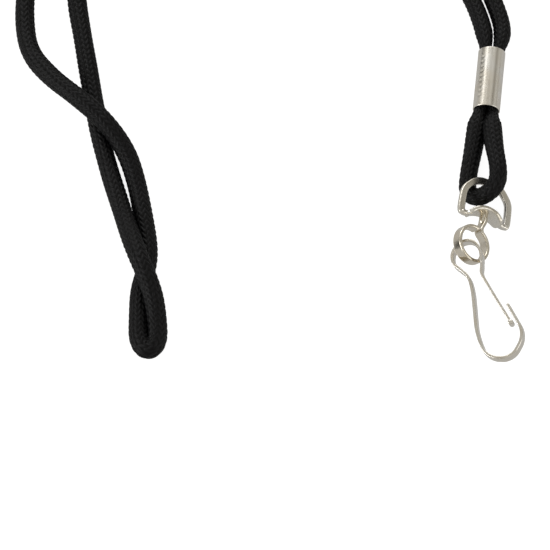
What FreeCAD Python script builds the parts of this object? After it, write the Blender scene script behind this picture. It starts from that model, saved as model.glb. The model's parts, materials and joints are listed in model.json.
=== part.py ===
import FreeCAD, Part
import math
import os
from FreeCAD import Vector

# A cord lanyard lying flat on a table: +Z up, +Y away, +X right, millimetres.
# Origin: bottom centre of the box round the metal hardware.

# The layout below is drawn about the bow, and moved at the end so that the origin is the box's.
BOX_MIDDLE = Vector(-0.6, -1.6, 0)

# Cord
CORD_D = 4.0
CORD_R = CORD_D / 2
ARC_SHARE = 0.45          # part of the shorter run that each corner arc uses

# Crimp: a thin tube squeezed over two strands
CRIMP_TOP = Vector(2.8, 37.2, 3.2)
CRIMP_BOTTOM = Vector(1.0, 22.1, 3.2)
CRIMP_OD = 6.4
CRIMP_WALL = 0.4
STRAND_OUT = 1.0          # squeezed strand beyond each mouth
STRAND_GAP = 0.1          # between the two squeezed strands
STRAND_OFFSET = 2.05      # strand centres from the crimp's axis, just outside the mouths

# Bow: flat D ring with an arched base plate
BOW_ORIGIN = Vector(-0.6, -5.9, 4.1)   # middle of the base line
BOW_YAW = -9.0            # in the table's plane, degrees
BOW_PITCH = -5.0          # top bar down, degrees
BOW_ROLL = 25.0           # left side up, degrees
BOW_HALF_W = 6.8          # at the base, outer
BOW_TOP_HALF_W = 6.6
BOW_HEIGHT = 10.6
BOW_BAR = 1.7
BOW_THICK = 1.1
NECK_H = 1.5
PLATE_HALF_L = 4.2
PLATE_W = 4.8
PLATE_T = 1.0
PLATE_RISE = 2.2
STEM_HOLE_R = 1.05

# Swivel eye: flat strip ring with a headed stem
STEM_R = 1.0
HEAD_R = 1.5
HEAD_T = 0.5
HEAD_PLAY = 0.12
HEAD_Y = PLATE_RISE + PLATE_T / 2 + HEAD_PLAY
EYE_ROLL = 38.0
EYE_R = 4.2               # middle of the strip
EYE_W = 2.5
EYE_T = 0.85
EYE_DROP = 7.4            # from the base line to the eye's centre
EYE_OFFSET = 2.4          # eye's centre from the stem's axis

# Snap hook: one flat strip, in its own plane (u right, v up along the hook)
HOOK_W = 2.5
HOOK_T = 0.7
HOOK_ROLL = -18.0
HOOK_ORIGIN = Vector(-4.9, -17.1, 6.2)
GATE_T = 0.6
GATE_W = 2.3
BUTTON_R = 0.6

# Coil of the spare cord
COIL_X = -49.0
COIL_Y = 92.0
COIL_R_IN = 17.9          # strand A
COIL_R_OUT = 22.1         # strand B
COIL_TURNS = 2
COIL_PITCH = 4.7
TIE_T = 0.8
TIE_W = 6.0


def unit(v):
    """A copy of v with length 1."""
    w = Vector(v)
    w.normalize()
    return w


def corner_arcs(points):
    """For each inner point: its arc's start, middle and end, and its radius."""
    arcs = []
    for before, at, after in zip(points, points[1:], points[2:]):
        back = before - at
        ahead = after - at
        run = min(back.Length, ahead.Length)
        turn = math.pi - back.getAngle(ahead)
        cut = ARC_SHARE * run
        radius = cut / math.tan(turn / 2)
        start = at + unit(back) * cut
        end = at + unit(ahead) * cut
        inward = unit(unit(back) + unit(ahead))
        centre = at + inward * (radius / math.cos(turn / 2))
        middle = centre - inward * radius
        arcs.append((start, middle, end, radius))
    return arcs


def rounded_wire(points):
    """Straight runs joined by tangent arcs."""
    edges = []
    here = points[0]
    for start, middle, end, _radius in corner_arcs(points):
        edges.append(Part.LineSegment(here, start).toShape())
        edges.append(Part.Arc(start, middle, end).toShape())
        here = end
    edges.append(Part.LineSegment(here, points[-1]).toShape())
    return Part.Wire(edges)


def cord_tube(name, points):
    """A round tube along the route, with its radii and volume printed."""
    wire = rounded_wire(points)
    start = unit(points[1] - points[0])
    ring = Part.Wire(Part.makeCircle(CORD_R, points[0], start))
    tube = wire.makePipeShell([ring], True, False)
    radii = [round(arc[3] / CORD_D, 1) for arc in corner_arcs(points)]
    ideal = math.pi * CORD_R ** 2 * wire.Length
    print(name, "length", round(wire.Length, 1), "radii in diameters", radii,
          "volume ratio", round(tube.Volume / ideal, 4))
    return tube


def tilted_frame(origin, yaw, pitch, roll):
    """Across, along and outward directions of a flat piece turned by yaw, pitch, then roll."""
    turn = FreeCAD.Rotation(Vector(0, 0, 1), yaw) * FreeCAD.Rotation(Vector(1, 0, 0), pitch)
    turn = turn * FreeCAD.Rotation(Vector(0, 1, 0), roll)
    return FreeCAD.Placement(origin, turn)


def crimp_axis():
    return unit(CRIMP_BOTTOM - CRIMP_TOP)


def crimp_right():
    """Across the crimp, to the right."""
    along = crimp_axis()
    return unit(Vector(-along.y, along.x, 0))


def crimp_tube():
    """Thin tube with a slightly rolled outer rim at both ends."""
    length = (CRIMP_BOTTOM - CRIMP_TOP).Length
    outer = Part.makeCylinder(CRIMP_OD / 2, length, CRIMP_TOP, crimp_axis())
    rims = [e for e in outer.Edges if isinstance(e.Curve, Part.Circle)]
    outer = outer.makeFillet(0.2, rims)
    bore = Part.makeCylinder(CRIMP_OD / 2 - CRIMP_WALL, length + 2, CRIMP_TOP - crimp_axis(), crimp_axis())
    return outer.cut(bore)


def squeezed_strand(side):
    """Half-round strand in the crimp. side is -1 for left and 1 for right."""
    length = (CRIMP_BOTTOM - CRIMP_TOP).Length + 2 * STRAND_OUT
    start = CRIMP_TOP - crimp_axis() * STRAND_OUT
    bore = Part.makeCylinder(CRIMP_OD / 2 - CRIMP_WALL, length, start, crimp_axis())
    size = CRIMP_OD * 2
    box = Part.makeBox(size, size + length, size, Vector(STRAND_GAP / 2, -size - length + size / 2, -size / 2))
    if side < 0:
        box = box.mirror(Vector(0, 0, 0), Vector(1, 0, 0))
    angle = math.degrees(math.atan2(crimp_axis().x, -crimp_axis().y))
    box.Placement = FreeCAD.Placement(start, FreeCAD.Rotation(Vector(0, 0, 1), angle)).multiply(box.Placement)
    return bore.common(box)


def strand_end(at_top, side):
    """Where a full-round strand meets the squeezed one outside a mouth."""
    if at_top:
        base = CRIMP_TOP - crimp_axis() * STRAND_OUT
    else:
        base = CRIMP_BOTTOM + crimp_axis() * STRAND_OUT
    return base + crimp_right() * (side * STRAND_OFFSET)


def hook_loop_points():
    """The small loop: down on the left under the bow, up on the right over it."""
    return [
        strand_end(False, -1),
        strand_end(False, -1) + crimp_axis() * 2.8,
        Vector(-2.4, 12.4, 2.6),
        Vector(-3.7, 6.4, 2.1),
        Vector(-3.9, 1.6, 2.0),
        Vector(-0.9, -0.1, 3.4),
        Vector(2.7, 2.0, 5.8),
        Vector(3.0, 6.2, 6.4),
        Vector(2.8, 12.2, 5.4),
        strand_end(False, 1) + crimp_axis() * 2.8,
        strand_end(False, 1),
    ]


def left_pair_points():
    """Strand A down from the coil, round the loop end, and strand B back up to the coil."""
    return [
        Vector(COIL_X, COIL_Y - COIL_R_IN, 2.0),
        Vector(-64.0, 75.5, 2.0),
        Vector(-80.0, 77.5, 2.0),
        Vector(-94.5, 75.0, 2.0),
        Vector(-104.0, 66.0, 2.0),
        Vector(-106.9, 55.0, 2.0),
        Vector(-106.7, 45.6, 2.2),
        Vector(-105.0, 37.0, 3.2),
        Vector(-99.6, 29.9, 5.0),
        Vector(-93.6, 24.3, 6.2),
        Vector(-87.1, 18.2, 5.8),
        Vector(-82.2, 11.8, 3.4),
        Vector(-79.7, 4.4, 2.1),
        Vector(-78.0, -4.2, 2.0),
        Vector(-76.7, -12.5, 2.0),
        Vector(-77.4, -17.8, 2.0),
        Vector(-78.9, -22.8, 2.0),
        Vector(-79.3, -29.0, 2.0),
        Vector(-79.0, -35.0, 2.0),
        Vector(-76.5, -36.9, 2.0),
        Vector(-73.8, -35.3, 2.1),
        Vector(-73.8, -29.8, 2.9),
        Vector(-74.8, -24.8, 4.6),
        Vector(-76.7, -20.6, 5.9),
        Vector(-78.5, -16.2, 6.2),
        Vector(-80.1, -11.4, 5.3),
        Vector(-81.7, -6.2, 3.6),
        Vector(-83.5, -0.6, 2.4),
        Vector(-86.0, 7.2, 2.0),
        Vector(-88.2, 15.6, 2.0),
        Vector(-89.9, 24.4, 2.0),
        Vector(-91.4, 33.2, 2.0),
        Vector(-93.0, 42.2, 2.0),
        Vector(-94.8, 50.8, 2.0),
        Vector(-95.2, 58.8, 2.0),
        Vector(-92.0, 66.2, 2.0),
        Vector(-85.2, 71.2, 2.0),
        Vector(-74.5, 72.4, 2.0),
        Vector(-61.5, 70.4, 2.0),
        Vector(COIL_X, COIL_Y - COIL_R_OUT, 2.0),
    ]


def right_strand_points(side):
    """From the top mouth of the crimp up to where the strand leaves the coil's top layer."""
    top = 2.0 + COIL_PITCH * COIL_TURNS
    lead = strand_end(True, side) - crimp_axis() * 2.6
    if side < 0:
        return [
            strand_end(True, side),
            lead,
            Vector(0.8, 45.6, 2.4),
            Vector(-1.3, 51.7, 2.0),
            Vector(-4.9, 58.4, 2.0),
            Vector(-11.3, 64.8, 2.1),
            Vector(-20.8, 69.2, 4.4),
            Vector(-31.2, 70.8, 8.6),
            Vector(-40.2, 70.2, top - 0.2),
            Vector(COIL_X, COIL_Y - COIL_R_OUT, top),
        ]
    return [
        strand_end(True, side),
        lead,
        Vector(5.4, 45.4, 2.3),
        Vector(3.5, 52.0, 2.0),
        Vector(0.4, 59.6, 2.0),
        Vector(-5.8, 67.4, 2.1),
        Vector(-15.6, 73.2, 3.8),
        Vector(-27.0, 75.6, 8.6),
        Vector(-37.8, 74.8, top),
        Vector(COIL_X, COIL_Y - COIL_R_IN, top),
    ]


def coil_solid():
    """Outer shape of the coil: a flat ring."""
    inner = COIL_R_IN - CORD_R - 0.2
    outer = COIL_R_OUT + CORD_R + 0.2
    height = CORD_D + COIL_PITCH * COIL_TURNS + 0.1 - TIE_T
    base = Vector(COIL_X, COIL_Y, TIE_T)
    ring = Part.makeCylinder(outer, height, base).cut(Part.makeCylinder(inner, height, base))
    return ring.makeFillet(1.5, [e for e in ring.Edges if isinstance(e.Curve, Part.Circle)])


def coil_tie():
    """Flat strap round the coil's section, on the far side."""
    inner = COIL_R_IN - CORD_R - 0.2
    outer = COIL_R_OUT + CORD_R + 0.2
    height = CORD_D + COIL_PITCH * COIL_TURNS + 0.1 - TIE_T
    low = Vector(COIL_X - TIE_W / 2, COIL_Y + inner - 1.0, 0)
    strap = Part.makeBox(TIE_W, outer - inner + 1.6, height + 2 * TIE_T, low)
    strap = strap.makeFillet(1.2, [e for e in strap.Edges if abs(e.tangentAt(e.FirstParameter).x) > 0.9])
    return strap.cut(coil_solid())


def band(points, thickness, width):
    """A flat strip: the planar route thickened to both sides and made width wide about its plane."""
    wire = rounded_wire(points)
    ahead = unit(points[1] - points[0])
    side = Vector(-ahead.y, ahead.x, 0) * (thickness / 2)
    up = Vector(0, 0, width / 2)
    corners = [points[0] + side + up, points[0] - side + up, points[0] - side - up, points[0] + side - up]
    return wire.makePipeShell([Part.makePolygon(corners + corners[:1])], True, False)


def bow_frame():
    return tilted_frame(BOW_ORIGIN, BOW_YAW, BOW_PITCH, BOW_ROLL)


def bow_ring():
    """Flared legs and round top, a flat band in the bow's own plane."""
    half = BOW_HALF_W - BOW_BAR / 2
    top = BOW_TOP_HALF_W - BOW_BAR / 2
    high = BOW_HEIGHT - BOW_BAR / 2
    return band([
        Vector(-half, -0.6, 0),
        Vector(-half, 2.6, 0),
        Vector(-top, high - 3.4, 0),
        Vector(-top * 0.5, high, 0),
        Vector(top * 0.5, high, 0),
        Vector(top, high - 3.4, 0),
        Vector(half, 2.6, 0),
        Vector(half, -0.6, 0),
    ], BOW_BAR, BOW_THICK)


def arched_plate():
    """Base plate, arched towards the ring's inside."""
    radius = (PLATE_HALF_L ** 2 + PLATE_RISE ** 2) / (2 * PLATE_RISE)
    centre = Vector(0, PLATE_RISE - radius, -PLATE_W / 2)
    arch = Part.makeCylinder(radius + PLATE_T / 2, PLATE_W, centre)
    arch = arch.cut(Part.makeCylinder(radius - PLATE_T / 2, PLATE_W, centre))
    low = Vector(-PLATE_HALF_L, 0, -PLATE_W / 2)
    return arch.common(Part.makeBox(2 * PLATE_HALF_L, 2 * PLATE_RISE, PLATE_W, low))


def bow():
    """D ring, its two necks, and the arched base plate with the stem's hole."""
    neck_l = BOW_HALF_W - PLATE_HALF_L + 0.6
    size = (neck_l, NECK_H, BOW_THICK)
    left = Part.makeBox(*size, Vector(-BOW_HALF_W + 0.1, -0.6, -BOW_THICK / 2))
    right = Part.makeBox(*size, Vector(BOW_HALF_W - 0.1 - neck_l, -0.6, -BOW_THICK / 2))
    whole = bow_ring().fuse([left, right, arched_plate()]).removeSplitter()
    hole = Part.makeCylinder(STEM_HOLE_R, 4 * PLATE_RISE, Vector(0, -PLATE_RISE, 0), Vector(0, 1, 0))
    whole = whole.cut(hole)
    whole.Placement = bow_frame()
    return whole


def eye_frame():
    """The stem's axis is the frame's second direction, through the middle of the base line."""
    return tilted_frame(BOW_ORIGIN, BOW_YAW, BOW_PITCH, EYE_ROLL)


def swivel_eye():
    """P-shaped strip eye, its stem through the plate's hole, and the stem's head."""
    centre = Vector(-EYE_OFFSET, -EYE_DROP, -EYE_W / 2)
    ring = Part.makeCylinder(EYE_R + EYE_T / 2, EYE_W, centre)
    ring = ring.cut(Part.makeCylinder(EYE_R - EYE_T / 2, EYE_W, centre))
    foot_y = -EYE_DROP + math.sqrt(EYE_R ** 2 - (EYE_OFFSET - 0.6) ** 2)
    neck = band([
        Vector(0, 0.2, 0),
        Vector(0, -1.4, 0),
        Vector(-0.6, foot_y, 0),
    ], EYE_T, EYE_W - 0.5)
    stem = Part.makeCylinder(STEM_R, HEAD_Y + 0.4, Vector(0, -0.4, 0), Vector(0, 1, 0))
    head = Part.makeCylinder(HEAD_R, HEAD_T, Vector(0, HEAD_Y, 0), Vector(0, 1, 0))
    head = head.makeFillet(0.25, [e for e in head.Edges if e.CenterOfMass.y > HEAD_Y + HEAD_T - 0.01])
    whole = ring.fuse([neck, stem, head]).removeSplitter()
    whole.Placement = eye_frame()
    return whole


def hook_frame():
    return tilted_frame(HOOK_ORIGIN, 0.0, 0.0, HOOK_ROLL)


def hook_points():
    """Arch and J, from the gate's root over the arch and round to the tip."""
    return [
        Vector(3.7, -0.6, 0),
        Vector(3.7, 2.2, 0),
        Vector(2.0, 4.9, 0),
        Vector(-1.2, 4.9, 0),
        Vector(-3.1, 2.2, 0),
        Vector(-2.9, -0.3, 0),
        Vector(0.7, -3.7, 0),
        Vector(1.5, -7.5, 0),
        Vector(2.1, -17.8, 0),
        Vector(4.3, -23.0, 0),
        Vector(9.8, -23.7, 0),
        Vector(12.9, -18.8, 0),
        Vector(9.3, -11.4, 0),
    ]


def gate_points():
    """Gate arm from its root to the button."""
    return [
        Vector(3.7, -1.1, 0),
        Vector(3.5, -3.3, 0),
        Vector(6.5, -9.3, 0),
        Vector(9.7, -15.1, 0),
    ]


def hook_body():
    body = band(hook_points(), HOOK_T, HOOK_W)
    body.Placement = hook_frame()
    return body


def gate():
    """Flexing gate arm with its rolled button tip."""
    points = gate_points()
    arm = band(points, GATE_T, GATE_W)
    root = Part.makeCylinder(GATE_T / 2, GATE_W, points[0] - Vector(0, 0, GATE_W / 2))
    tip = Part.makeCylinder(BUTTON_R, GATE_W, points[-1] - Vector(0, 0, GATE_W / 2))
    whole = arm.fuse([root, tip]).removeSplitter()
    whole.Placement = hook_frame()
    return whole


NODES = {
    "crimp": crimp_tube(),
    "crimped_strand_left": squeezed_strand(-1),
    "crimped_strand_right": squeezed_strand(1),
    "hook_loop_cord": cord_tube("hook_loop_cord", hook_loop_points()),
    "neck_cord_left_pair": cord_tube("neck_cord_left_pair", left_pair_points()),
    "neck_cord_right_inner": cord_tube("neck_cord_right_inner", right_strand_points(-1)),
    "neck_cord_right_outer": cord_tube("neck_cord_right_outer", right_strand_points(1)),
    "neck_cord_coil": coil_solid(),
    "coil_tie": coil_tie(),
    "bow": bow(),
    "swivel_eye": swivel_eye(),
    "hook_body": hook_body(),
    "gate": gate(),
}

os.makedirs("parts", exist_ok=True)
for node, shape in NODES.items():
    shape.translate(-BOX_MIDDLE)
    box = shape.BoundBox
    print(node, "solids", len(shape.Solids), "valid", shape.isValid(), "volume", round(shape.Volume, 2),
          "x", round(box.XMin, 2), round(box.XMax, 2), "y", round(box.YMin, 2), round(box.YMax, 2),
          "z", round(box.ZMin, 2), round(box.ZMax, 2))
    shape.exportStep("parts/" + node + ".step")
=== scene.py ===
import json
import math

import bmesh
import bpy
import numpy as np
from mathutils import Matrix, Vector


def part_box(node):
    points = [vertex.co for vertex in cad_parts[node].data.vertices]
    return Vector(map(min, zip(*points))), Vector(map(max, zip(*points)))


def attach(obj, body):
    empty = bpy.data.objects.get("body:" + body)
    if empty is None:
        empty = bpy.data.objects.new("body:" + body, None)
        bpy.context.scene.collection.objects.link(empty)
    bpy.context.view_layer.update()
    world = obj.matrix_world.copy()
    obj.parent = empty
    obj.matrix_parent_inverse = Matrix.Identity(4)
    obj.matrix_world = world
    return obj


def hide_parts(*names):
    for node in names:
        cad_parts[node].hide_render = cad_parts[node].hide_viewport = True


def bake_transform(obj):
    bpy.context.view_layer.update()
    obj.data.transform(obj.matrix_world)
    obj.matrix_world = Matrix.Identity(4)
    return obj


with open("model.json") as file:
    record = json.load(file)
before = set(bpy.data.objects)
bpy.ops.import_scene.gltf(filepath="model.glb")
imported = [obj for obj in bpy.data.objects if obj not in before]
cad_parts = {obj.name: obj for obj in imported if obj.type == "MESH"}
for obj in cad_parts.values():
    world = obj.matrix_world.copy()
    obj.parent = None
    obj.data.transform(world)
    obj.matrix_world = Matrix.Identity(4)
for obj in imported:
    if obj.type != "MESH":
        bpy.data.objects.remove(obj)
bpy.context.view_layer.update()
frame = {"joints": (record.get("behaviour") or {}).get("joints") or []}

MM = 0.001
JOINTS = {joint["name"]: joint for joint in frame["joints"]}

# The layout's numbers are moved by this to the row frame, which puts the object's box on its middle.
SHIFT = np.array([0.0006, 0.0016, 0.0])

# Cord
CORD_D = 0.004
CORD_R = CORD_D / 2
YARN_COLUMNS = 16
YARN_PITCH = 0.00138
YARN_RELIEF = 0.16
YARN_TWIST = 9.0
YARN_LEAN = 0.95
CORD_FULL = 1.05
AROUND = 80
STEP = 0.00022
SMOOTH_PASSES = 6
SQUEEZED_WIDTH = 0.68
SQUEEZED_HEIGHT = 0.96
FAT_BLEND = 0.01

# How far from its ends each cord is narrow, its size out of the crimp and further on, and where that starts
NECK_FORM = {"squeeze_from": 0.0125, "near_size": 1.0, "far_size": 1.09, "far_from": 0.1}
HOOK_LOOP_FORM = {"squeeze_from": 0.0115, "near_size": 1.12, "far_size": 0.98, "far_from": 0.012}

# Coil of the spare cord
COIL_X = -0.049
COIL_Y = 0.092
COIL_R_IN = 0.0179
COIL_R_OUT = 0.0221
COIL_TURNS = 2
COIL_PITCH = 0.0047
COIL_POINTS = 18
COIL_LOW = 0.002

# Crimp
CRIMP_TOP = np.array([0.0028, 0.0372, 0.0032])
CRIMP_BOTTOM = np.array([0.0010, 0.0221, 0.0032])
CRIMP_R = 0.0032
CRIMP_WALL = 0.0004
CRIMP_RIM = 0.17
CRIMP_STEPS = 110
CRIMP_SEGMENTS = 112
DENTS = 9
DENT_ANGLE = math.radians(128)
DENT_DEPTH = 0.10
DENT_WIDE = 0.42
DENT_LONG = 0.30
STRAND_SIDE = 0.00132
STRAND_INSIDE = 0.0070

# Metal strips, in millimetres in their own planes
BOW_HALF_W = 6.8
BOW_TOP_HALF_W = 6.6
BOW_HEIGHT = 10.6
BOW_BAR = 1.7
BOW_THICK = 1.1
PLATE_HALF_L = 4.2
PLATE_W = 4.8
PLATE_T = 1.0
PLATE_RISE = 2.2
STEM_HOLE_R = 1.05
STEM_R = 1.0
HEAD_R = 1.5
HEAD_T = 0.5
HEAD_Y = PLATE_RISE + PLATE_T / 2 + 0.12
EYE_R = 4.2
EYE_W = 2.5
EYE_T = 0.85
EYE_DROP = 7.4
EYE_OFFSET = 2.4
EYE_TURN = math.radians(13.0)
HOOK_W = 2.5
HOOK_T = 0.7
GATE_W = 2.3
GATE_T = 0.6
BUTTON_R = 0.6
GATE_ROOT = (3.7, -1.1)
HOOK_POINTS = [
    (3.7, -0.75),
    (3.7, 2.2),
    (2.0, 4.9),
    (-1.2, 4.9),
    (-3.1, 2.2),
    (-2.9, -0.3),
    (0.7, -3.7),
    (1.5, -7.5),
    (2.1, -17.8),
    (4.2, -23.5),
    (9.8, -24.4),
    (13.0, -19.0),
    (9.3, -11.4),
]
GATE_POINTS = [(3.7, -0.55), (3.7, -1.6), (3.5, -3.3), (6.5, -9.3), (9.9, -15.8)]


# Camera

CAMERA_ELEVATION = math.radians(68)
CAMERA_DISTANCE = 0.6
CAMERA_AIM = Vector((-0.04735, -0.01605, 0.0))
SENSOR = 36.0
VIEW_WIDTH = 0.125


def make_camera():
    data = bpy.data.cameras.new("camera")
    data.sensor_width = SENSOR
    data.lens = SENSOR * CAMERA_DISTANCE / VIEW_WIDTH
    data.clip_start = 0.01
    camera = bpy.data.objects.new("camera", data)
    bpy.context.scene.collection.objects.link(camera)
    ahead = Vector((0, math.cos(CAMERA_ELEVATION), -math.sin(CAMERA_ELEVATION)))
    camera.location = CAMERA_AIM - ahead * CAMERA_DISTANCE
    camera.rotation_euler = (math.pi / 2 - CAMERA_ELEVATION, 0, 0)
    bpy.context.scene.camera = camera


make_camera()


# Materials

def new_material(name):
    material = bpy.data.materials.new(name)
    material.use_nodes = True
    tree = material.node_tree
    return material, tree, tree.nodes["Principled BSDF"]


def noise(tree, scale, detail, roughness=0.5, stretch=(1, 1, 1)):
    """Noise on the object's own coordinates, in metres."""
    place = tree.nodes.new("ShaderNodeTexCoord")
    mapping = tree.nodes.new("ShaderNodeMapping")
    mapping.inputs["Scale"].default_value = stretch
    texture = tree.nodes.new("ShaderNodeTexNoise")
    texture.inputs["Scale"].default_value = scale
    texture.inputs["Detail"].default_value = detail
    texture.inputs["Roughness"].default_value = roughness
    tree.links.new(place.outputs["Object"], mapping.inputs["Vector"])
    tree.links.new(mapping.outputs["Vector"], texture.inputs["Vector"])
    return texture.outputs["Fac"]


def ramp(tree, fac, low, high, start=0.3, end=0.7):
    node = tree.nodes.new("ShaderNodeValToRGB")
    node.color_ramp.elements[0].position = start
    node.color_ramp.elements[0].color = (*low, 1)
    node.color_ramp.elements[1].position = end
    node.color_ramp.elements[1].color = (*high, 1)
    tree.links.new(fac, node.inputs["Fac"])
    return node.outputs["Color"]


def bump(tree, shader, height, strength, distance):
    node = tree.nodes.new("ShaderNodeBump")
    node.inputs["Strength"].default_value = strength
    node.inputs["Distance"].default_value = distance
    tree.links.new(height, node.inputs["Height"])
    tree.links.new(node.outputs["Normal"], shader.inputs["Normal"])


def cord_material():
    """Black braided polyester: crowns painted paler as a painted highlight, grooves between the plaits
    painted dark as painted shade, fine fibres.
    """
    material, tree, shader = new_material("black_braid")
    plait = tree.nodes.new("ShaderNodeAttribute")
    plait.attribute_name = "plait"
    # The plait height sets the base colour: painted shade in the grooves between the plaits, painted
    # highlight on the crowns.
    colour = ramp(tree, plait.outputs["Fac"], (0.0002, 0.0002, 0.0003), (0.0055, 0.0055, 0.0062), 0.3, 0.95)
    patches = ramp(tree, noise(tree, 900, 4), (0.72, 0.72, 0.72), (1.35, 1.35, 1.33))
    mix = tree.nodes.new("ShaderNodeMix")
    mix.data_type = "RGBA"
    mix.blend_type = "MULTIPLY"
    mix.inputs[0].default_value = 1.0
    tree.links.new(colour, mix.inputs[6])
    tree.links.new(patches, mix.inputs[7])
    tree.links.new(mix.outputs[2], shader.inputs["Base Color"])
    rough = ramp(tree, noise(tree, 2500, 2), (0.3, 0.3, 0.3), (0.5, 0.5, 0.5))
    tree.links.new(rough, shader.inputs["Roughness"])
    shader.inputs["Specular IOR Level"].default_value = 0.13
    bump(tree, shader, noise(tree, 5200, 3, 0.6), 0.5, 0.00008)
    return material


def nickel_material(name, colour, rough_low, rough_high, grain):
    """Nickel plate: faint warm clouding, soft scratches, small dents from tumbling."""
    material, tree, shader = new_material(name)
    warm = tuple(c * f for c, f in zip(colour, (0.93, 0.89, 0.82)))
    tree.links.new(ramp(tree, noise(tree, 260, 5), warm, colour), shader.inputs["Base Color"])
    shader.inputs["Metallic"].default_value = 1.0
    rough = ramp(tree, noise(tree, 700, 6, 0.65, grain), (rough_low,) * 3, (rough_high,) * 3, 0.35, 0.75)
    tree.links.new(rough, shader.inputs["Roughness"])
    bump(tree, shader, noise(tree, 420, 4, 0.55, grain), 0.35, 0.00005)
    return material


def strap_material():
    """Black woven strap."""
    material, tree, shader = new_material("black_strap")
    wave = tree.nodes.new("ShaderNodeTexWave")
    wave.inputs["Scale"].default_value = 900
    wave.inputs["Distortion"].default_value = 1.5
    place = tree.nodes.new("ShaderNodeTexCoord")
    tree.links.new(place.outputs["Object"], wave.inputs["Vector"])
    tree.links.new(ramp(tree, wave.outputs["Fac"], (0.01, 0.01, 0.01), (0.03, 0.03, 0.032)),
                   shader.inputs["Base Color"])
    shader.inputs["Roughness"].default_value = 0.8
    bump(tree, shader, wave.outputs["Fac"], 0.6, 0.0002)
    return material


BRAID = cord_material()
CRIMP_METAL = nickel_material("crimp_nickel", (0.74, 0.72, 0.68), 0.24, 0.36, (1, 0.25, 1))
BOW_METAL = nickel_material("bow_nickel", (0.76, 0.74, 0.69), 0.20, 0.34, (1, 1, 1))
EYE_METAL = nickel_material("eye_nickel", (0.74, 0.70, 0.62), 0.12, 0.24, (1, 1, 1))
HOOK_METAL = nickel_material("hook_nickel", (0.76, 0.74, 0.70), 0.14, 0.28, (1, 0.5, 1))
STRAP = strap_material()


# Mesh helpers

def grid_mesh(name, verts, rows, columns, material, caps=True):
    """A closed tube of rows rings of columns points."""
    index = np.arange(rows * columns).reshape(rows, columns)
    ahead = np.roll(index, -1, axis=1)
    quads = np.stack([index[:-1], ahead[:-1], ahead[1:], index[1:]], axis=-1).reshape(-1, 4)
    mesh = bpy.data.meshes.new(name)
    ends = [index[0][::-1].tolist(), index[-1].tolist()] if caps else []
    corners = np.concatenate([quads.ravel(), np.array(ends, int).ravel()]) if caps else quads.ravel()
    starts = np.concatenate([np.arange(len(quads)) * 4,
                             len(quads) * 4 + np.arange(len(ends)) * columns]).astype(int)
    mesh.vertices.add(len(verts))
    mesh.vertices.foreach_set("co", np.asarray(verts, np.float32).ravel())
    mesh.loops.add(len(corners))
    mesh.loops.foreach_set("vertex_index", corners.astype(np.int32))
    mesh.polygons.add(len(starts))
    mesh.polygons.foreach_set("loop_start", starts.astype(np.int32))
    mesh.update(calc_edges=True)
    mesh.validate()
    mesh.shade_smooth()
    mesh.materials.append(material)
    thing = bpy.data.objects.new(name, mesh)
    bpy.context.scene.collection.objects.link(thing)
    return thing


def unit_rows(vectors):
    return vectors / np.linalg.norm(vectors, axis=1)[:, None]


def along(points):
    """Distance along a polyline at each of its points."""
    return np.concatenate([[0], np.cumsum(np.linalg.norm(np.diff(points, axis=0), axis=1))])


def resample(points, step):
    far = along(points)
    count = max(2, int(round(far[-1] / step)) + 1)
    at = np.linspace(0, far[-1], count)
    return np.stack([np.interp(at, far, points[:, k]) for k in range(3)], axis=1), at


def spline_points(name, control):
    """Points along the route's NURBS spline."""
    curve = bpy.data.curves.new(name, "CURVE")
    curve.dimensions = "3D"
    curve.resolution_u = 10
    spline = curve.splines.new("NURBS")
    spline.points.add(len(control) - 1)
    for point, place in zip(spline.points, control):
        point.co = (*place, 1)
    spline.order_u = 3
    spline.use_endpoint_u = True
    thing = bpy.data.objects.new(name, curve)
    bpy.context.scene.collection.objects.link(thing)
    bpy.context.view_layer.update()
    mesh = bpy.data.meshes.new_from_object(thing)
    points = np.array([v.co for v in mesh.vertices], float)
    bpy.data.objects.remove(thing)
    bpy.data.meshes.remove(mesh)
    return points


def smooth_step(x):
    x = np.clip(x, 0, 1)
    return x * x * (3 - 2 * x)


def plaits(far, angle):
    """How far each point of the braid stands out, 0 to 1: V-shaped crowns in leaning columns."""
    twist = YARN_TWIST * far + 0.25 * np.sin(far * 61) + 0.2 * np.sin(far * 23 + 1)
    column = (angle[None, :] + twist[:, None]) / (2 * math.pi) * YARN_COLUMNS
    part = column - np.floor(column) - 0.5
    lean = np.where(np.floor(column) % 2 == 0, 1.0, -1.0)
    drift = 0.12 * np.sin(far * 137) + 0.1 * np.sin(far * 311 + 2)
    phase = (far / YARN_PITCH + drift)[:, None] + lean * part * YARN_LEAN
    crown = np.abs(np.cos(math.pi * phase)) ** 0.55
    valley = 1 - np.abs(2 * part) ** 5
    return crown * (0.45 + 0.55 * valley)


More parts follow.
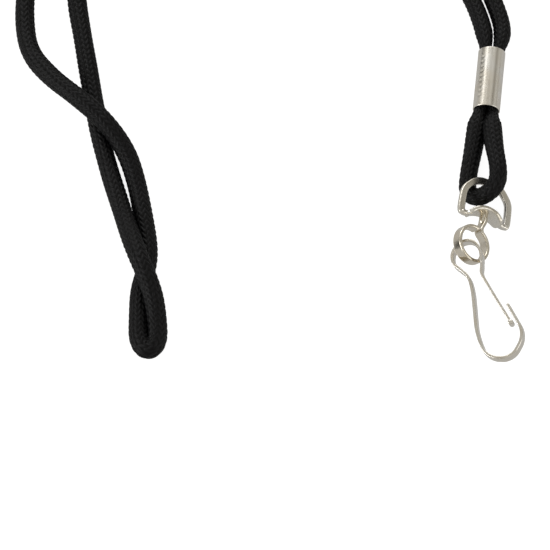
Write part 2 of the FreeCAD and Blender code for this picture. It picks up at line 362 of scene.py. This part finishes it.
def braided_cord(name, control, squeeze_from, near_size, far_size, far_from):
    """Round braid along the route. Its ends are squeezed flat in the crimp, and open out by squeeze_from."""
    path = spline_points(name + "_route", control)
    points, far = resample(path, STEP)
    for _ in range(SMOOTH_PASSES):
        points[1:-1] = (points[:-2] + points[1:-1] * 2 + points[2:]) / 4
    tangent = unit_rows(np.gradient(points, axis=0))
    up = np.array([0, 0, 1.0]) - tangent * tangent[:, 2:3]
    up = unit_rows(up)
    side = np.cross(tangent, up)
    total = far[-1]
    angle = np.linspace(0, 2 * math.pi, AROUND, endpoint=False)
    plait = plaits(far, angle)
    swell = 1 + 0.012 * np.sin(far * 410) + 0.012 * np.sin(far * 173 + 1.3) + 0.01 * np.sin(far * 67)
    radius = CORD_R * swell[:, None] * (CORD_FULL - YARN_RELIEF * (1 - plait))
    near_end = np.minimum(far, total - far)
    free = smooth_step((near_end - STRAND_INSIDE) / (squeeze_from - STRAND_INSIDE))
    further = smooth_step((near_end - far_from) / FAT_BLEND)
    size = 1 + (near_size - 1) * free + (far_size - near_size) * further
    radius = radius * size[:, None]
    points[:, 2] += CORD_R * np.maximum(size * CORD_FULL - 1, 0) * free
    flat = (SQUEEZED_WIDTH + (1 - SQUEEZED_WIDTH) * free)[:, None]
    tall = (SQUEEZED_HEIGHT + (1 - SQUEEZED_HEIGHT) * free)[:, None]
    ring = (side[:, None, :] * (np.cos(angle)[None, :] * radius * flat)[:, :, None]
            + up[:, None, :] * (np.sin(angle)[None, :] * radius * tall)[:, :, None])
    verts = (points[:, None, :] + ring).reshape(-1, 3)
    cord = grid_mesh(name, verts, len(points), AROUND, BRAID)
    # The plait height is stored for the material's painted shade in the grooves and painted highlight on the
    # crowns.
    layer = cord.data.attributes.new("plait", "FLOAT", "POINT")
    layer.data.foreach_set("value", plait.astype(np.float32).ravel())
    return cord, points, total


# Cords: their routes, given point by point where they aren't coiled

CRIMP_ALONG = (CRIMP_BOTTOM - CRIMP_TOP) / np.linalg.norm(CRIMP_BOTTOM - CRIMP_TOP)
CRIMP_RIGHT = np.array([-CRIMP_ALONG[1], CRIMP_ALONG[0], 0.0])


def by_mouth(mouth, outward, side, distance):
    """A point beside the crimp's axis, distance outside a mouth."""
    return mouth + outward * distance + CRIMP_RIGHT * (side * STRAND_SIDE)


def strand_lead(mouth, outward, side):
    """From the middle of the crimp out through a mouth."""
    return [
        by_mouth(mouth, outward, side, -0.007),
        by_mouth(mouth, outward, side, -0.0035),
        by_mouth(mouth, outward, side, -0.0005),
        by_mouth(mouth, outward, side * 1.2, 0.0014),
    ]


STRAND_A_RIGHT = [
    (0.0054, 0.0412, 0.0030),
    (0.0054, 0.0454, 0.0023),
    (0.0035, 0.0520, 0.0020),
    (0.0004, 0.0596, 0.0020),
    (-0.0058, 0.0674, 0.0021),
    (-0.0156, 0.0732, 0.0038),
    (-0.0270, 0.0756, 0.0086),
    (-0.0378, 0.0748, 0.0114),
]

LEFT_PAIR = [
    (-0.0640, 0.0755, 0.0020),
    (-0.0800, 0.0775, 0.0020),
    (-0.0945, 0.0750, 0.0020),
    (-0.1040, 0.0660, 0.0020),
    (-0.1069, 0.0550, 0.0020),
    (-0.1070, 0.0456, 0.0022),
    (-0.1054, 0.0368, 0.0032),
    (-0.0999, 0.0296, 0.0050),
    (-0.0938, 0.0241, 0.0066),
    (-0.0870, 0.0181, 0.0062),
    (-0.0822, 0.0118, 0.0034),
    (-0.0797, 0.0044, 0.0021),
    (-0.0780, -0.0042, 0.0020),
    (-0.0765, -0.0125, 0.0020),
    (-0.0772, -0.0178, 0.0020),
    (-0.0785, -0.0228, 0.0020),
    (-0.0786, -0.0290, 0.0020),
    (-0.0785, -0.0348, 0.0021),
    (-0.0763, -0.0371, 0.0022),
    (-0.0741, -0.0349, 0.0025),
    (-0.0744, -0.0298, 0.0033),
    (-0.0752, -0.0248, 0.0049),
    (-0.0767, -0.0206, 0.0064),
    (-0.0786, -0.0162, 0.0066),
    (-0.0803, -0.0114, 0.0053),
    (-0.0819, -0.0062, 0.0036),
    (-0.0836, -0.0006, 0.0024),
    (-0.0861, 0.0072, 0.0020),
    (-0.0883, 0.0156, 0.0020),
    (-0.0900, 0.0244, 0.0020),
    (-0.0916, 0.0332, 0.0020),
    (-0.0932, 0.0422, 0.0020),
    (-0.0948, 0.0508, 0.0020),
    (-0.0952, 0.0588, 0.0020),
    (-0.0920, 0.0662, 0.0020),
    (-0.0852, 0.0712, 0.0020),
    (-0.0745, 0.0724, 0.0020),
    (-0.0615, 0.0704, 0.0020),
]

STRAND_B_RIGHT = [
    (-0.0402, 0.0702, 0.0112),
    (-0.0312, 0.0708, 0.0086),
    (-0.0208, 0.0692, 0.0044),
    (-0.0113, 0.0648, 0.0021),
    (-0.0049, 0.0584, 0.0020),
    (-0.0013, 0.0517, 0.0020),
    (0.0006, 0.0456, 0.0024),
    (0.0013, 0.0412, 0.0030),
]

HOOK_LOOP = [
    (-0.0012, 0.0186, 0.0030),
    (-0.0022, 0.0124, 0.0026),
    (-0.0035, 0.0064, 0.0022),
    (-0.0040, 0.0014, 0.0021),
    (-0.0009, -0.0003, 0.0036),
    (0.0028, 0.0020, 0.0062),
    (0.0031, 0.0062, 0.0068),
    (0.0023, 0.0122, 0.0054),
    (0.0020, 0.0186, 0.0038),
]


def coil_points(radius, downward):
    """A strand's turns round the coil, from its south side, each turn a layer higher."""
    steps = COIL_TURNS * COIL_POINTS
    points = []
    for k in range(steps + 1):
        angle = -math.pi / 2 + 2 * math.pi * k / COIL_POINTS
        high = COIL_LOW + COIL_PITCH * k / COIL_POINTS
        points.append((COIL_X + radius * math.cos(angle), COIL_Y + radius * math.sin(angle), high))
    return points[::-1] if downward else points


def neck_route():
    """Crimp's right strand, coil, strand A, loop end, strand B, coil, and back to the crimp."""
    route = strand_lead(CRIMP_TOP, -CRIMP_ALONG, 1)
    route += STRAND_A_RIGHT
    route += coil_points(COIL_R_IN, True)
    route += LEFT_PAIR
    route += coil_points(COIL_R_OUT, False)
    route += STRAND_B_RIGHT
    route += strand_lead(CRIMP_TOP, -CRIMP_ALONG, -1)[::-1]
    return np.array(route, float) + SHIFT


def hook_loop_route():
    route = strand_lead(CRIMP_BOTTOM, CRIMP_ALONG, -1)
    route += HOOK_LOOP
    route += strand_lead(CRIMP_BOTTOM, CRIMP_ALONG, 1)[::-1]
    return np.array(route, float) + SHIFT


neck_cord, neck_path, _neck_length = braided_cord("neck_cord", neck_route(), **NECK_FORM)
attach(neck_cord, "cord_and_crimp")
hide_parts("neck_cord_left_pair", "neck_cord_right_inner", "neck_cord_right_outer",
            "neck_cord_coil", "crimped_strand_right")

hook_cord, hook_cord_path, hook_cord_length = braided_cord(
    "hook_loop_cord_braid", hook_loop_route(), **HOOK_LOOP_FORM)
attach(hook_cord, "cord_and_crimp")
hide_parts("hook_loop_cord", "crimped_strand_left")


# Hardware

def rounded_line(points, step=0.12):
    """Straight runs joined by tangent arcs, as dense points. Points are pairs in millimetres."""
    points = [np.array(p, float) for p in points]
    line = [points[0]]
    for before, at, after in zip(points, points[1:], points[2:]):
        back = before - at
        ahead = after - at
        run = min(np.linalg.norm(back), np.linalg.norm(ahead))
        back = back / np.linalg.norm(back)
        ahead = ahead / np.linalg.norm(ahead)
        turn = math.pi - math.acos(float(np.clip(back @ ahead, -1, 1)))
        cut = 0.45 * run
        radius = cut / math.tan(turn / 2)
        inward = (back + ahead) / np.linalg.norm(back + ahead)
        centre = at + inward * (radius / math.cos(turn / 2))
        start = at + back * cut - centre
        sign = math.copysign(1, (-back)[0] * ahead[1] - (-back)[1] * ahead[0])
        count = max(4, int(radius * turn / step) + 1)
        for k in range(count + 1):
            a = sign * turn * k / count
            line.append(centre + np.array([start[0] * math.cos(a) - start[1] * math.sin(a),
                                           start[0] * math.sin(a) + start[1] * math.cos(a)]))
    line.append(points[-1])
    line = np.array(line)
    flat = np.concatenate([line, np.zeros((len(line), 1))], axis=1)
    dense, _far = resample(flat, step)
    return dense[:, :2]


def rounded_section(width, thick, corner, around=6):
    """A rounded rectangle: thickness along x, width along y, in millimetres."""
    section = []
    for cx, cy, first in ((1, 1, 0), (-1, 1, 90), (-1, -1, 180), (1, -1, 270)):
        for k in range(around + 1):
            a = math.radians(first + 90 * k / around)
            section.append((cx * (thick / 2 - corner) + corner * math.cos(a),
                            cy * (width / 2 - corner) + corner * math.sin(a)))
    return np.array(section)


def placed(verts, place):
    """Millimetre points in a piece's own plane to metres in the row frame."""
    matrix = np.array(place)
    return verts * MM @ matrix[:3, :3].T + matrix[:3, 3]


def strip_verts(line, width, thick, corner, widths=None, thicks=None):
    """A flat strip along a planar line. widths and thicks scale it along its length."""
    section = rounded_section(width, thick, corner)
    tangent = unit_rows(np.gradient(line, axis=0))
    side = np.stack([-tangent[:, 1], tangent[:, 0]], axis=1)
    widths = np.ones(len(line)) if widths is None else widths
    thicks = np.ones(len(line)) if thicks is None else thicks
    flat = line[:, None, :] + side[:, None, :] * (section[None, :, 0] * thicks[:, None])[:, :, None]
    high = section[None, :, 1] * widths[:, None]
    return np.concatenate([flat, high[:, :, None]], axis=2), len(section)


def rounded_ends(line, thick):
    """Scales that round a strip's two ends."""
    far = np.concatenate([[0], np.cumsum(np.linalg.norm(np.diff(line, axis=0), axis=1))])
    near = np.minimum(far, far[-1] - far) / (thick * 0.5)
    return np.sqrt(np.clip(1 - (1 - np.clip(near, 0, 1)) ** 2, 0.02, 1))


def strip(name, points, width, thick, place, material, corner=0.16):
    line = rounded_line(points)
    ends = rounded_ends(line, thick)
    verts, columns = strip_verts(line, width, thick, corner, 0.86 + 0.14 * ends, ends)
    return grid_mesh(name, placed(verts.reshape(-1, 3), place), len(line), columns, material)


def frame_matrix(origin, across, up):
    """A piece's own plane: across, up and outward directions."""
    out = across.cross(up).normalized()
    return Matrix((
        (across.x, up.x, out.x, origin.x),
        (across.y, up.y, out.y, origin.y),
        (across.z, up.z, out.z, origin.z),
        (0, 0, 0, 1),
    ))


def lathe(name, profile, place, material, segments=40):
    """Turns a profile of (radius, height) pairs about the second direction of place."""
    angle = np.linspace(0, 2 * math.pi, segments, endpoint=False)
    radius = np.array([p[0] for p in profile])
    height = np.array([p[1] for p in profile])
    x = radius[:, None] * np.cos(angle)[None, :]
    z = radius[:, None] * np.sin(angle)[None, :]
    y = np.repeat(height[:, None], segments, axis=1)
    verts = np.stack([x, y, z], axis=2).reshape(-1, 3)
    return grid_mesh(name, placed(verts, place), len(profile), segments, material)


def join(name, things):
    """Joins meshes to one object."""
    for thing in bpy.context.selected_objects:
        thing.select_set(False)
    for thing in things:
        thing.select_set(True)
    bpy.context.view_layer.objects.active = things[0]
    bpy.ops.object.join()
    things[0].name = name
    return things[0]


def melt(thing, voxel, smooth, cutters=()):
    """Fuses a joined mesh to one skin with softened edges, after cutting holes. Works at a large scale."""
    grow = 1000.0
    thing.data.transform(Matrix.Scale(grow, 4))
    for cutter in cutters:
        cutter.data.transform(Matrix.Scale(grow, 4))
    remesh = thing.modifiers.new("remesh", "REMESH")
    remesh.mode = "VOXEL"
    remesh.voxel_size = voxel
    for cutter in cutters:
        cut = thing.modifiers.new("cut", "BOOLEAN")
        cut.operation = "DIFFERENCE"
        cut.solver = "EXACT"
        cut.object = cutter
        again = thing.modifiers.new("again", "REMESH")
        again.mode = "VOXEL"
        again.voxel_size = voxel
    soften = thing.modifiers.new("soften", "SMOOTH")
    soften.factor = 0.5
    soften.iterations = smooth
    bpy.context.view_layer.update()
    depsgraph = bpy.context.evaluated_depsgraph_get()
    mesh = bpy.data.meshes.new_from_object(thing.evaluated_get(depsgraph))
    mesh.transform(Matrix.Scale(1 / grow, 4))
    mesh.shade_smooth()
    materials = list(thing.data.materials)
    thing.modifiers.clear()
    thing.data = mesh
    mesh.materials.clear()
    mesh.materials.append(materials[0])
    for cutter in cutters:
        bpy.data.objects.remove(cutter)
    return thing


SWIVEL_AT = Vector(JOINTS["swivel_turn"]["pos_m"])
SWIVEL_UP = -Vector(JOINTS["swivel_turn"]["axis"])
BOW_ACROSS = -Vector(JOINTS["bow_swing"]["axis"])
BOW_PLANE = frame_matrix(SWIVEL_AT, BOW_ACROSS, SWIVEL_UP)
EYE_PLANE = frame_matrix(SWIVEL_AT, Matrix.Rotation(EYE_TURN, 3, SWIVEL_UP) @ BOW_ACROSS, SWIVEL_UP)
HOOK_OUT = Vector(JOINTS["hook_rock"]["axis"])
HOOK_UP = Vector((0, 1, 0))
HOOK_ACROSS = HOOK_UP.cross(HOOK_OUT).normalized()
HOOK_AT = (Vector(JOINTS["gate_press"]["pos_m"]) - HOOK_ACROSS * (GATE_ROOT[0] * MM)
           - HOOK_UP * (GATE_ROOT[1] * MM))
HOOK_PLANE = frame_matrix(HOOK_AT, HOOK_ACROSS, HOOK_UP)


def make_crimp():
    """Thin tube with rolled rims and a plain row of small dents."""
    length = float(np.linalg.norm(CRIMP_BOTTOM - CRIMP_TOP)) / MM
    outer = CRIMP_R / MM
    inner = outer - CRIMP_WALL / MM
    rim = CRIMP_RIM
    profile = [(inner, length * 0.5)]
    profile += [(inner, length * k / 12) for k in range(5, 0, -1)]
    profile += [(inner + 0.02, 0.25)]
    for k in range(9):
        a = math.pi * k / 8
        profile.append((outer - rim - rim * math.cos(a), rim - rim * math.sin(a)))
    profile += [(outer, rim + (length - 2 * rim) * (k + 0.5) / CRIMP_STEPS) for k in range(CRIMP_STEPS)]
    for k in range(9):
        a = math.pi * k / 8
        profile.append((outer - rim + rim * math.cos(a), length - rim + rim * math.sin(a)))
    profile += [(inner + 0.02, length - 0.25)]
    profile += [(inner, length * k / 12) for k in range(11, 6, -1)]
    profile = np.array(profile)
    angle = np.linspace(0, 2 * math.pi, CRIMP_SEGMENTS, endpoint=False)
    radius = np.repeat(profile[:, 0][:, None], CRIMP_SEGMENTS, axis=1)
    height = np.repeat(profile[:, 1][:, None], CRIMP_SEGMENTS, axis=1)
    outside = (profile[:, 0] > outer - 0.01)[:, None]
    for k in range(DENTS):
        at = length * (0.17 + 0.66 * k / (DENTS - 1))
        across = (angle - DENT_ANGLE) * outer
        reach = np.sqrt((across[None, :] / DENT_WIDE) ** 2 + ((height - at) / DENT_LONG) ** 2)
        radius = radius - outside * DENT_DEPTH * np.exp(-reach ** 2 * 1.6)
    pinch = 1 - 0.012 * np.cos(2 * angle)[None, :]
    radius = radius * pinch
    x = radius * np.cos(angle)[None, :]
    z = radius * np.sin(angle)[None, :]
    verts = np.stack([x, -height, z], axis=2).reshape(-1, 3)
    top = Vector(CRIMP_TOP + SHIFT)
    place = frame_matrix(top, Vector(CRIMP_RIGHT), Vector(-CRIMP_ALONG))
    crimp = grid_mesh("crimp_tube", placed(verts, place), len(profile), CRIMP_SEGMENTS,
                      CRIMP_METAL, caps=False)
    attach(crimp, "cord_and_crimp")
    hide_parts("crimp")
    return crimp


def arch_line():
    radius = (PLATE_HALF_L ** 2 + PLATE_RISE ** 2) / (2 * PLATE_RISE)
    half = math.asin(PLATE_HALF_L / radius)
    return np.array([(radius * math.sin(a), PLATE_RISE - radius + radius * math.cos(a))
                     for a in np.linspace(-half, half, 80)])


def make_bow():
    """Stamped ring and arched base plate, melted together at their narrow necks."""
    half = BOW_HALF_W - BOW_BAR / 2
    top = BOW_TOP_HALF_W - BOW_BAR / 2
    high = BOW_HEIGHT - BOW_BAR / 2
    ring_points = [
        (-half + 0.5, -0.3),
        (-half, 0.9),
        (-half, 3.4),
        (-top, high - 3.4),
        (-top * 0.5, high),
        (top * 0.5, high),
        (top, high - 3.4),
        (half, 3.4),
        (half, 0.9),
        (half - 0.5, -0.3),
    ]
    ring = strip("bow_ring", ring_points, BOW_THICK, BOW_BAR, BOW_PLANE, BOW_METAL, corner=0.3)
    line = arch_line()
    across = np.abs(line[:, 0]) / PLATE_HALF_L
    widths = 1 - 0.16 * smooth_step((across - 0.5) / 0.4)
    widths = widths * np.sqrt(1 - 0.75 * np.clip((across - 0.82) / 0.18, 0, 1) ** 2)
    verts, columns = strip_verts(line, PLATE_W, PLATE_T, 0.3, widths)
    plate = grid_mesh("bow_plate", placed(verts.reshape(-1, 3), BOW_PLANE), len(line), columns, BOW_METAL)
    necks = []
    for side in (-1, 1):
        neck_line = [(side * 3.6, 0.55), (side * 4.6, 0.15), (side * (half - 0.1), 0.15)]
        necks.append(strip("bow_neck", neck_line, 1.5, 1.1, BOW_PLANE, BOW_METAL, corner=0.35))
    bow = join("bow_stamping", [ring, plate, *necks])
    hole = lathe("hole_cutter", [(STEM_HOLE_R + 0.12, -1.0), (STEM_HOLE_R + 0.12, 4.5)], BOW_PLANE, BOW_METAL)
    melt(bow, 0.11, 5, [hole])
    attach(bow, "bow")
    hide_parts("bow")
    return bow


def eye_points():
    """Stem's foot, the waist, once round the ring, and back to the waist."""
    cx = -EYE_OFFSET
    cy = -EYE_DROP
    points = [(0.0, 0.6), (0.0, -0.9), (-0.75, -2.6), (-0.7, -3.6)]
    for degrees in (38, 14, -12, -38, -64, -90, -116, -142, -168, -194, -220, -246, -268):
        a = math.radians(degrees)
        points.append((cx + EYE_R * 1.01 * math.cos(a), cy + EYE_R * 1.01 * math.sin(a)))
    points.append((cx + 0.95, cy + EYE_R - 0.05))
    return points


def make_eye():
    """Strip eye with its turned stem and flattened head."""
    eye_strip = strip("eye_strip", eye_points(), EYE_W, EYE_T, EYE_PLANE, EYE_METAL, corner=0.28)
    stem = lathe("eye_stem", [
        (0.55, -1.2),
        (0.85, -0.6),
        (STEM_R * 0.97, -0.1),
        (STEM_R * 0.97, HEAD_Y + 0.02),
        (HEAD_R - 0.12, HEAD_Y + 0.02),
        (HEAD_R, HEAD_Y + 0.14),
        (HEAD_R - 0.05, HEAD_Y + HEAD_T * 0.55),
        (HEAD_R - 0.45, HEAD_Y + HEAD_T * 0.9),
        (0.3, HEAD_Y + HEAD_T),
    ], EYE_PLANE, EYE_METAL)
    eye = join("swivel_eye_strip", [eye_strip, stem])
    melt(eye, 0.10, 3)
    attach(eye, "swivel")
    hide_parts("swivel_eye")
    return eye


def make_hook():
    """Arch, J and rounded tip, one spring strip."""
    hook = strip("hook_strip", HOOK_POINTS, HOOK_W, HOOK_T, HOOK_PLANE, HOOK_METAL, corner=0.2)
    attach(hook, "hook")
    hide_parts("hook_body")
    return hook


def make_gate():
    """The strip's springy end, with its rolled button."""
    arm = strip("gate_arm", GATE_POINTS, GATE_W, GATE_T, HOOK_PLANE, HOOK_METAL, corner=0.18)
    tip = GATE_POINTS[-1]
    centre = Vector((tip[0] - 0.05, tip[1], 0)) * MM
    place = HOOK_PLANE @ Matrix.Translation(centre) @ Matrix.Rotation(math.pi / 2, 4, "X")
    half = GATE_W / 2
    button = lathe("gate_button", [
        (0.1, -half),
        (BUTTON_R - 0.18, -half),
        (BUTTON_R - 0.04, -half + 0.1),
        (BUTTON_R, -half + 0.28),
        (BUTTON_R, half - 0.28),
        (BUTTON_R - 0.04, half - 0.1),
        (BUTTON_R - 0.18, half),
        (0.1, half),
    ], place, HOOK_METAL)
    gate = join("gate_strip", [arm, button])
    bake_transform(gate)
    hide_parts("gate")
    return gate


def make_tie():
    """Plain strap round the coil's bundle of cord."""
    low, high = (np.array(corner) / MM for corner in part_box("coil_tie"))
    thick = 0.8
    width = high[0] - low[0]
    y0, y1 = low[1] + thick / 2, high[1] - thick / 2
    z0, z1 = low[2] + thick / 2, high[2] - thick / 2
    middle = (y0 + y1) / 2
    loop = rounded_line([(middle, z0), (y0, z0), (y0, z1), (y1, z1), (y1, z0), (middle - 0.5, z0)], 0.3)
    verts, columns = strip_verts(loop, width, thick, 0.25)
    place = Matrix(((0, 0, 1, (low[0] + high[0]) / 2 * MM), (1, 0, 0, 0), (0, 1, 0, 0), (0, 0, 0, 1)))
    tie = grid_mesh("coil_tie_strap", placed(verts.reshape(-1, 3), place), len(loop), columns, STRAP)
    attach(tie, "cord_and_crimp")
    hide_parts("coil_tie")
    return tie


make_crimp()
make_bow()
make_eye()
make_hook()
make_gate()
tie_strap = make_tie()


# Floor and light

def make_floor():
    mesh = bpy.data.meshes.new("floor")
    builder = bmesh.new()
    bmesh.ops.create_grid(builder, x_segments=1, y_segments=1, size=3.0)
    builder.to_mesh(mesh)
    builder.free()
    floor = bpy.data.objects.new("floor", mesh)
    bpy.context.scene.collection.objects.link(floor)
    material, tree, shader = new_material("white_table")
    shader.inputs["Base Color"].default_value = (0.3, 0.3, 0.3, 1)
    shader.inputs["Roughness"].default_value = 0.9
    shader.inputs["Specular IOR Level"].default_value = 0.0
    shader.inputs["Emission Color"].default_value = (1, 1, 1, 1)
    ray = tree.nodes.new("ShaderNodeLightPath")
    strength = tree.nodes.new("ShaderNodeMapRange")
    strength.inputs["To Min"].default_value = 0.30
    strength.inputs["To Max"].default_value = 0.90
    tree.links.new(ray.outputs["Is Camera Ray"], strength.inputs["Value"])
    tree.links.new(strength.outputs["Result"], shader.inputs["Emission Strength"])
    mesh.materials.append(material)
    floor.location.z = -0.00005


def make_lamp(name, place, aim, size, power, colour=(1, 1, 1)):
    data = bpy.data.lights.new(name, "AREA")
    data.shape = "RECTANGLE"
    data.size, data.size_y = size
    data.energy = power
    data.color = colour
    lamp = bpy.data.objects.new(name, data)
    bpy.context.scene.collection.objects.link(lamp)
    lamp.location = place
    lamp.rotation_euler = (Vector(aim) - Vector(place)).to_track_quat("-Z", "Y").to_euler()


def make_world():
    """Dim warm room, so that the metal has something darker than the table to show."""
    world = bpy.data.worlds.new("room")
    world.use_nodes = True
    tree = world.node_tree
    background = tree.nodes["Background"]
    place = tree.nodes.new("ShaderNodeTexCoord")
    cloud = tree.nodes.new("ShaderNodeTexNoise")
    cloud.inputs["Scale"].default_value = 2.2
    cloud.inputs["Detail"].default_value = 2
    tree.links.new(place.outputs["Generated"], cloud.inputs["Vector"])
    tree.links.new(ramp(tree, cloud.outputs["Fac"], (0.20, 0.18, 0.14), (0.85, 0.84, 0.80), 0.36, 0.62),
                   background.inputs["Color"])
    background.inputs["Strength"].default_value = 0.95
    bpy.context.scene.world = world


make_floor()
make_world()
make_lamp("key", (-0.15, 0.70, 0.45), (0, 0, 0), (0.9, 0.4), 2.6)
make_lamp("fill", (0.60, -0.20, 0.35), (0, 0, 0), (0.35, 0.6), 1.0, (1, 0.98, 0.95))
make_lamp("left", (-0.75, -0.25, 0.32), (-0.06, 0, 0), (0.7, 0.25), 3.0)
bpy.context.scene.view_settings.view_transform = "Standard"
